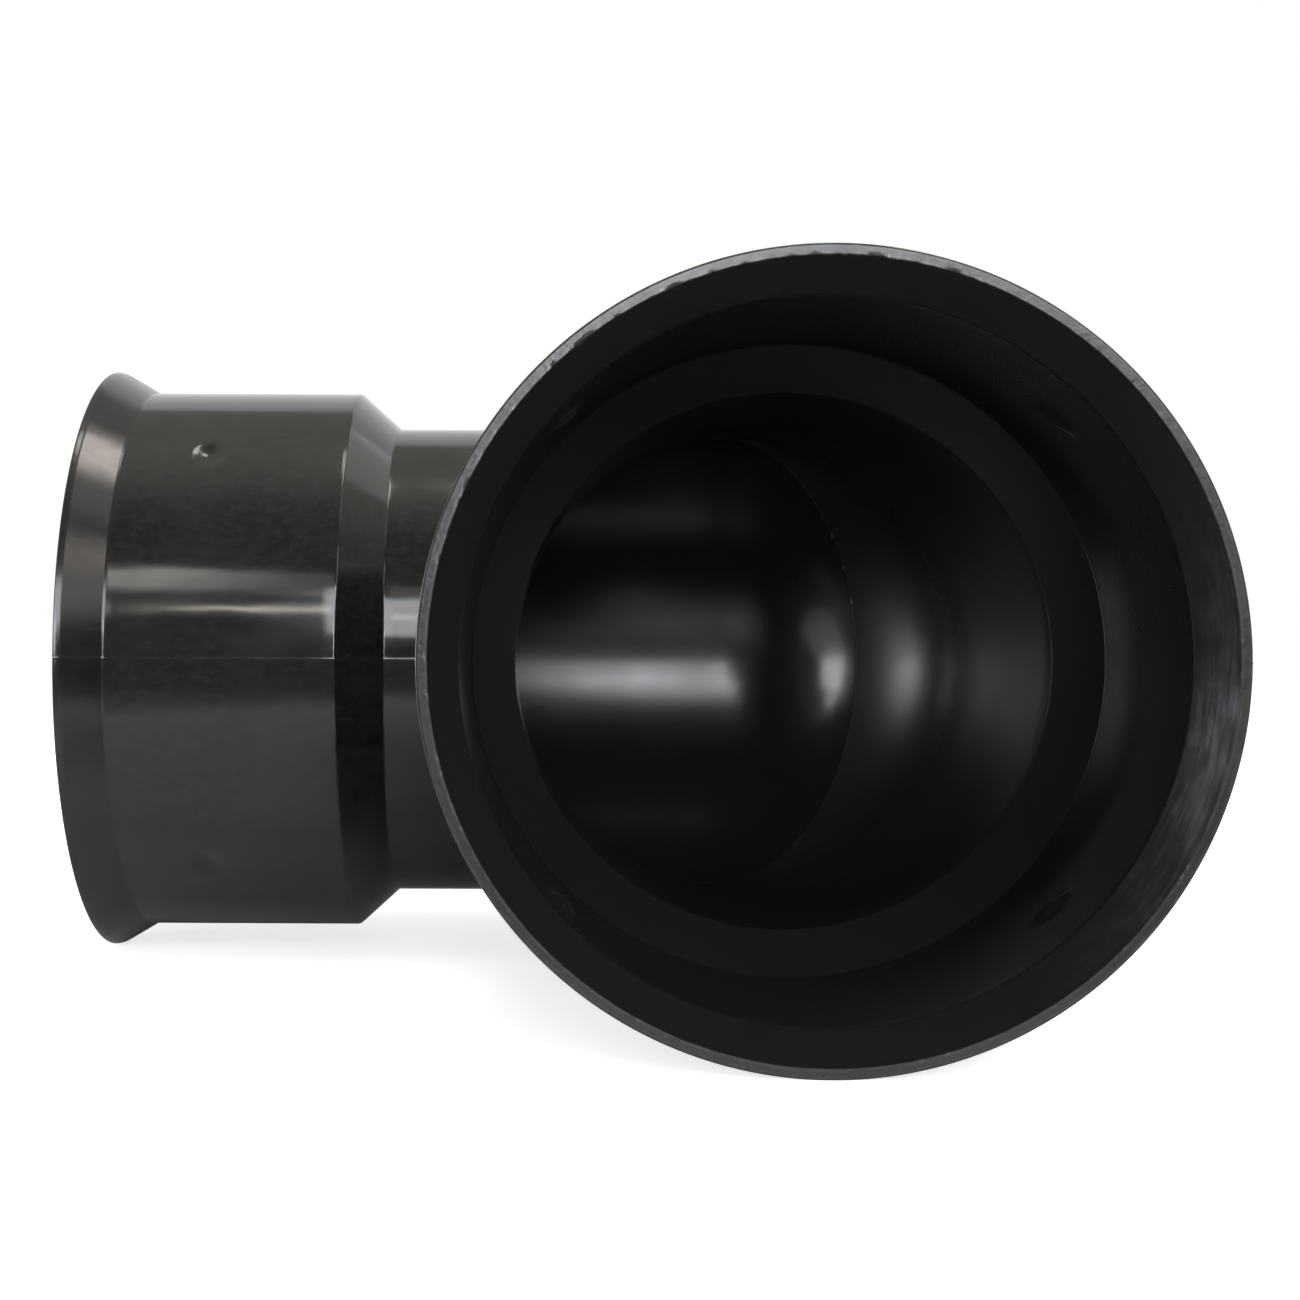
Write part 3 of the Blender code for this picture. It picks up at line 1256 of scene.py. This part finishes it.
    def dullness(self, graph: Graph, marks: Marks, streaks: Feed, clouds: Feed) -> Socket:
        """The roughness: outside or bore, uneven with streaks and clouds, more where worn.

        Args:
            graph: the material's nodes.
            marks: the mesh's marks by name, and those worked out from them.
            streaks: the streaks along each leg.
            clouds: the faint clouds.

        Returns:
            The roughness.
        """
        rough = graph.stepped(marks["bore"], 0.0, 1.0, self.roughness, self.bore_roughness)
        more_outside = self.streak_outside - self.streak_bore
        streak = graph.math("MULTIPLY_ADD", marks["open"], more_outside, self.streak_bore)
        cut = graph.math("MAXIMUM", marks["rim"], marks["edge"])
        for share, amount in (
            (graph.math("SUBTRACT", streaks, 0.5), streak),
            (graph.math("SUBTRACT", clouds, 0.5), self.cloud),
            (marks["scuff"], self.scuff_roughness - self.roughness),
            (marks["worn"], self.worn_roughness - self.bore_roughness),
            (marks["dull"], self.dull_roughness),
            (cut, self.cut_roughness - self.roughness),
        ):
            rough = graph.math("MULTIPLY_ADD", share, amount, rough)
        return graph.math("MAXIMUM", rough, self.least_roughness)

    def bump(self, graph: Graph, place: Feed, marks: Marks, streaks: Feed) -> Socket:
        """Slight waves and lengthwise streaks, with torn marks on the cut faces.

        Args:
            graph: the material's nodes.
            place: the mould's own coordinates.
            marks: the mesh's marks by name, and those worked out from them.
            streaks: the streaks along each leg.

        Returns:
            The bumpy normal.
        """
        tears = graph.math("MULTIPLY", self.tears.on(graph, place), marks["rim"])
        relief = graph.math("MULTIPLY_ADD", marks["open"], self.outside_relief, self.bore_relief)
        height = graph.math("MULTIPLY_ADD", streaks, self.streak_relief, self.waves.on(graph, place))
        height = graph.math("MULTIPLY", height, relief)
        node = graph.add("ShaderNodeBump")
        graph.feed(node.inputs["Distance"], self.relief)
        graph.feed(node.inputs["Height"], graph.math("MULTIPLY_ADD", tears, self.torn_relief, height))
        return node.outputs["Normal"]


@dataclass(frozen=True)
class Softbox:
    """A soft lamp, placed by the direction in which the elbow sees it.

    Azimuth runs from the camera's side towards +X, and both angles and both spreads are
    in degrees. The level is the brightness of its face, where 1 is white.
    """

    name: str
    azimuth: float
    elevation: float
    across: float
    tall: float
    level: float
    tint: Color = (1.0, 1.0, 1.0)
    distance: float = 1.5
    glossy: bool = True

    def place(self, middle: Vector) -> None:
        """Hangs the lamp, facing the middle of the elbow.

        Args:
            middle: the middle of the elbow, in metres.
        """
        turn, rise = math.radians(self.azimuth), math.radians(self.elevation)
        level = math.cos(rise)
        away = Vector((math.sin(turn) * level, -math.cos(turn) * level, math.sin(rise)))
        lamp = bpy.data.lights.new(self.name, "AREA")
        lamp.shape = "RECTANGLE"
        lamp.size = 2.0 * self.distance * math.tan(math.radians(self.across) / 2.0)
        lamp.size_y = 2.0 * self.distance * math.tan(math.radians(self.tall) / 2.0)
        lamp.color = self.tint
        lamp.energy = math.pi * self.level * lamp.size * lamp.size_y
        holder = bpy.data.objects.new(self.name, lamp)
        holder.location = middle + away * self.distance
        holder.rotation_euler = away.to_track_quat("Z", "Y").to_euler()
        holder.visible_camera = False
        holder.visible_glossy = self.glossy
        bpy.context.scene.collection.objects.link(holder)


@dataclass(frozen=True)
class Studio:
    """White floor, white surroundings, soft lamps, and glowing sheets seen only in reflections,
    which paint a dim hall behind the camera.
    """

    floor_half: float = 6.0
    floor_color: Color = (0.88, 0.88, 0.88)
    floor_roughness: float = 0.9
    floor_specular: float = 0.1
    floor_near: float = 0.15
    floor_far: float = 0.40
    floor_glow: float = 0.74
    mirrored_near: float = 0.11
    mirrored_far: float = 0.30
    mirrored_glow: float = 0.34
    fill: float = 0.25
    # Glow of the painted hall, seen in reflections only, and of its mat, which paints a floor darkening
    # away from the elbow.
    hall_tint: Color = (1.0, 0.975, 0.90)
    hall_levels: tuple[float, ...] = (0.26, 0.26, 0.28, 0.30, 0.42, 0.62, 0.84, 0.86, 0.6, 0.42)
    hall_swings: tuple[float, ...] = (-1.5, 8.0, 30.0, 56.0, 66.0, 73.0, 83.0, 96.0, 114.0, 131.0)
    hall_radius: float = 2.3
    hall_left: float = -74.0
    hall_right: float = 62.0
    hall_columns: int = 33
    hall_rows: int = 49
    hall_fade: tuple[float, float] = (45.0, 57.0)
    hall_faded: float = 0.45
    mat_height: float = 0.001
    mat_reaches: tuple[float, ...] = (0.195, 0.235, 0.27, 0.31, 0.38, 2.3)
    mat_levels: tuple[float, ...] = (0.95, 0.58, 0.42, 0.33, 0.28, 0.26)
    softboxes: tuple[Softbox, ...] = (
        Softbox("front", 12.75, 20.5, 38.5, 19.0, 8.0, DAYLIGHT),
        Softbox("front_low", 5.0, 7.5, 7.0, 12.0, 16.0, DAYLIGHT),
        Softbox("left", -94.0, 4.5, 27.0, 13.0, 7.6, DAYLIGHT),
        Softbox("left_high", -97.0, 15.0, 20.0, 8.0, 3.7, DAYLIGHT),
        Softbox("high_front", -12.5, 31.0, 13.0, 8.0, 1.0, (1.0, 0.96, 0.92)),
        Softbox("high_front_left", -17.5, 32.0, 8.0, 8.0, 1.7, (1.0, 0.96, 0.92)),
        Softbox("high_front_end", -18.8, 31.5, 4.5, 9.0, 3.0, (1.0, 0.95, 0.90)),
        Softbox("strip", -10.8, 20.0, 9.5, 1.4, 16.0, (1.0, 0.94, 0.86)),
        Softbox("overhead", 100.0, 86.0, 11.0, 12.0, 7.0, (1.0, 0.95, 0.90)),
        Softbox("right", 47.5, 36.5, 14.0, 11.0, 3.1, (1.0, 0.91, 0.83)),
        Softbox("right_low", 43.5, 22.0, 14.0, 16.0, 1.7, WARM_WHITE),
        Softbox("right_high", 66.0, 54.0, 14.0, 12.0, 0.9, WARM_WHITE),
        Softbox("high_right", 100.5, 66.8, 18.0, 9.0, 9.0, (1.0, 0.89, 0.82)),
        Softbox("behind_right", 128.0, 45.0, 26.0, 12.0, 0.9, (1.0, 0.97, 0.94)),
        Softbox("above", 20.0, 60.0, 42.0, 30.0, 3.6, glossy=False),
    )

    def build(self, middle: Vector) -> None:
        """Sets up everything around the elbow.

        Args:
            middle: the middle of the elbow, in metres.
        """
        self.world()
        self.floor()
        self.painted_hall(middle)
        for softbox in self.softboxes:
            softbox.place(middle)
        log.info("studio: %d soft lamps", len(self.softboxes))

    def seen_white(self, graph: Graph, seen: float, other: float) -> Socket:
        """One strength for camera, glossy and transmitted rays, and another for the rest.

        Args:
            graph: the world's nodes.
            seen: the strength that the camera and reflections see.
            other: the strength that lights the elbow.

        Returns:
            The strength.
        """
        path = graph.add("ShaderNodeLightPath")
        rays = [path.outputs[name] for name in ("Is Camera Ray", "Is Glossy Ray", "Is Transmission Ray")]
        direct = graph.math("MAXIMUM", graph.math("MAXIMUM", rays[0], rays[1]), rays[2])
        return graph.math("MULTIPLY_ADD", direct, seen - other, other)

    def world(self) -> None:
        """White surroundings, which light the elbow at a softer level."""
        world = bpy.data.worlds.new("studio_white")
        world.use_nodes = True
        graph = Graph(world.node_tree)
        background = world.node_tree.nodes["Background"]
        background.inputs["Color"].default_value = (1.0, 1.0, 1.0, 1.0)
        graph.feed(background.inputs["Strength"], self.seen_white(graph, 1.0, self.fill))
        bpy.context.scene.world = world

    def floor(self) -> None:
        """A pale floor under the elbow, which keeps its shadow.

        Away from the elbow it glows white to the camera, so that it runs into the white
        surroundings, and less to glossy and transmitted rays.
        """
        signs = np.array([(-1.0, -1.0, 0.0), (1.0, -1.0, 0.0), (1.0, 1.0, 0.0), (-1.0, 1.0, 0.0)])
        mesh = mesh_of("studio_floor", self.floor_half * signs, np.arange(4), np.array([4]))
        material = bpy.data.materials.new("pale_floor")
        material.use_nodes = True
        graph = Graph(material.node_tree)
        shader = material.node_tree.nodes["Principled BSDF"]
        shader.inputs["Base Color"].default_value = opaque(self.floor_color)
        shader.inputs["Roughness"].default_value = self.floor_roughness
        shader.inputs["Specular IOR Level"].default_value = self.floor_specular
        shader.inputs["Emission Color"].default_value = (1.0, 1.0, 1.0, 1.0)
        away = graph.add("ShaderNodeVectorMath", operation="LENGTH")
        graph.feed(away.inputs[0], graph.add("ShaderNodeTexCoord").outputs["Object"])
        reach = away.outputs["Value"]
        path = graph.add("ShaderNodeLightPath").outputs
        seen = graph.stepped(reach, self.floor_near, self.floor_far, self.floor_glow)
        seen = graph.math("MULTIPLY", seen, path["Is Camera Ray"])
        lit = graph.stepped(reach, self.mirrored_near, self.mirrored_far, 0.0, self.mirrored_glow)
        mirrored = graph.math("MAXIMUM", path["Is Glossy Ray"], path["Is Transmission Ray"])
        lit = graph.math("MULTIPLY", lit, mirrored)
        graph.feed(shader.inputs["Emission Strength"], graph.math("MAXIMUM", seen, lit))
        mesh.materials.append(material)
        self.staged("studio_floor", mesh)

    def painted_hall(self, middle: Vector) -> None:
        """The painted reflection of a dim hall: a mat on the floor and a shell over it, which glow
        and are seen in reflections only.

        The shell is part of a sphere about the elbow. It swings about the X axis, from the
        horizon behind the camera over the top, and reaches as far to the sides as given.
        Its glow follows the swing, and falls by a share towards its right side. The mat's glow
        falls away from the elbow.

        Args:
            middle: the middle of the elbow, in metres.
        """
        aside = np.radians(np.linspace(self.hall_left, self.hall_right, self.hall_columns))
        swing = np.linspace(self.hall_swings[0], self.hall_swings[-1], self.hall_rows)[:, None]
        fade = 1.0 - self.hall_faded * np.interp(np.degrees(aside), self.hall_fade, (0.0, 1.0))
        level = np.interp(swing, self.hall_swings, self.hall_levels) * fade
        lift = np.radians(swing)
        shell = np.stack([
            np.sin(aside) + 0.0 * lift,
            -np.cos(aside) * np.cos(lift),
            np.cos(aside) * np.sin(lift),
        ], axis=-1)
        ring = np.array(self.mat_reaches)[:, None]
        below = np.full((len(ring), len(aside)), self.mat_height - middle.z)
        mat = np.stack([ring * np.sin(aside), -ring * np.cos(aside), below], axis=-1)
        places = np.concatenate([mat, self.hall_radius * shell])
        level = np.concatenate([np.array(self.mat_levels)[:, None] + 0.0 * below, level])
        rows, columns = places.shape[:2]
        faces = grid_faces(rows, columns, 0).reshape(-1, columns, 4)[:, :-1].reshape(-1)
        places = places.reshape(-1, 3) + np.array(middle)
        mesh = mesh_of("painted_hall_sheets", places, faces, np.full(len(faces) // 4, 4))
        add_float(mesh, "level", level.ravel())
        material = bpy.data.materials.new("painted_hall_glow")
        material.use_nodes = True
        graph = Graph(material.node_tree)
        shader = material.node_tree.nodes["Principled BSDF"]
        shader.inputs["Base Color"].default_value = (0.0, 0.0, 0.0, 1.0)
        shader.inputs["Specular IOR Level"].default_value = 0.0
        # The glow is painted light, seen in reflections only.
        shader.inputs["Emission Color"].default_value = opaque(self.hall_tint)
        graph.feed(shader.inputs["Emission Strength"], graph.mark("level").outputs["Fac"])
        mesh.materials.append(material)
        holder = self.staged("painted_hall_sheets", mesh)
        holder.visible_camera = False
        holder.visible_diffuse = False
        holder.visible_shadow = False
        holder.visible_transmission = False

    def staged(self, name: str, mesh: bpy.types.Mesh) -> bpy.types.Object:
        """Puts a mesh into the scene as part of the studio.

        Args:
            name: the object's name.
            mesh: the mesh.

        Returns:
            The object.
        """
        holder = bpy.data.objects.new(name, mesh)
        bpy.context.scene.collection.objects.link(holder)
        return holder


@dataclass(frozen=True)
class PhotoCamera:
    """The camera at the photograph's viewing angle."""

    lens: float = 52.05
    sensor: float = 36.0
    shift_x: float = 0.0788
    shift_y: float = 0.0070
    right_of_camera: float = 46.47
    ahead_of_camera: float = 452.67
    below_camera: float = 0.2
    roll: float = -0.0043
    nearest: float = 0.01
    farthest: float = 50.0

    def place(self, crossing: Array) -> bpy.types.Object:
        """Makes the camera, which looks level along +Y.

        Args:
            crossing: where the legs' axes cross, in millimetres.

        Returns:
            The camera.
        """
        data = bpy.data.cameras.new("photo_camera")
        data.lens = self.lens
        data.sensor_width = self.sensor
        data.shift_x, data.shift_y = self.shift_x, self.shift_y
        data.clip_start, data.clip_end = self.nearest, self.farthest
        camera = bpy.data.objects.new("photo_camera", data)
        away = np.array([self.right_of_camera, self.ahead_of_camera, -self.below_camera])
        camera.location = (crossing - away) * MM
        camera.rotation_euler = (math.pi / 2.0, self.roll, 0.0)
        bpy.context.scene.collection.objects.link(camera)
        bpy.context.scene.camera = camera
        return camera


def main() -> None:
    """Builds the elbow, the studio and the camera."""
    logging.basicConfig(level=logging.INFO, format="%(name)s: %(message)s")
    bpy.context.scene.view_settings.view_transform = "Standard"
    elbow = Elbow()
    moulding = bpy.data.objects.new("pipe_elbow_moulding", elbow.mesh())
    bpy.context.scene.collection.objects.link(moulding)
    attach(moulding, BODY)
    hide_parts(NODE)
    moulding.data.materials.append(Polyethylene().material())
    log.info("moulding: %d vertices", len(moulding.data.vertices))
    Studio().build((CAD_LOW + CAD_HIGH) / 2.0)
    PhotoCamera().place(elbow.crossing())


if __name__ == "__main__":
    main()
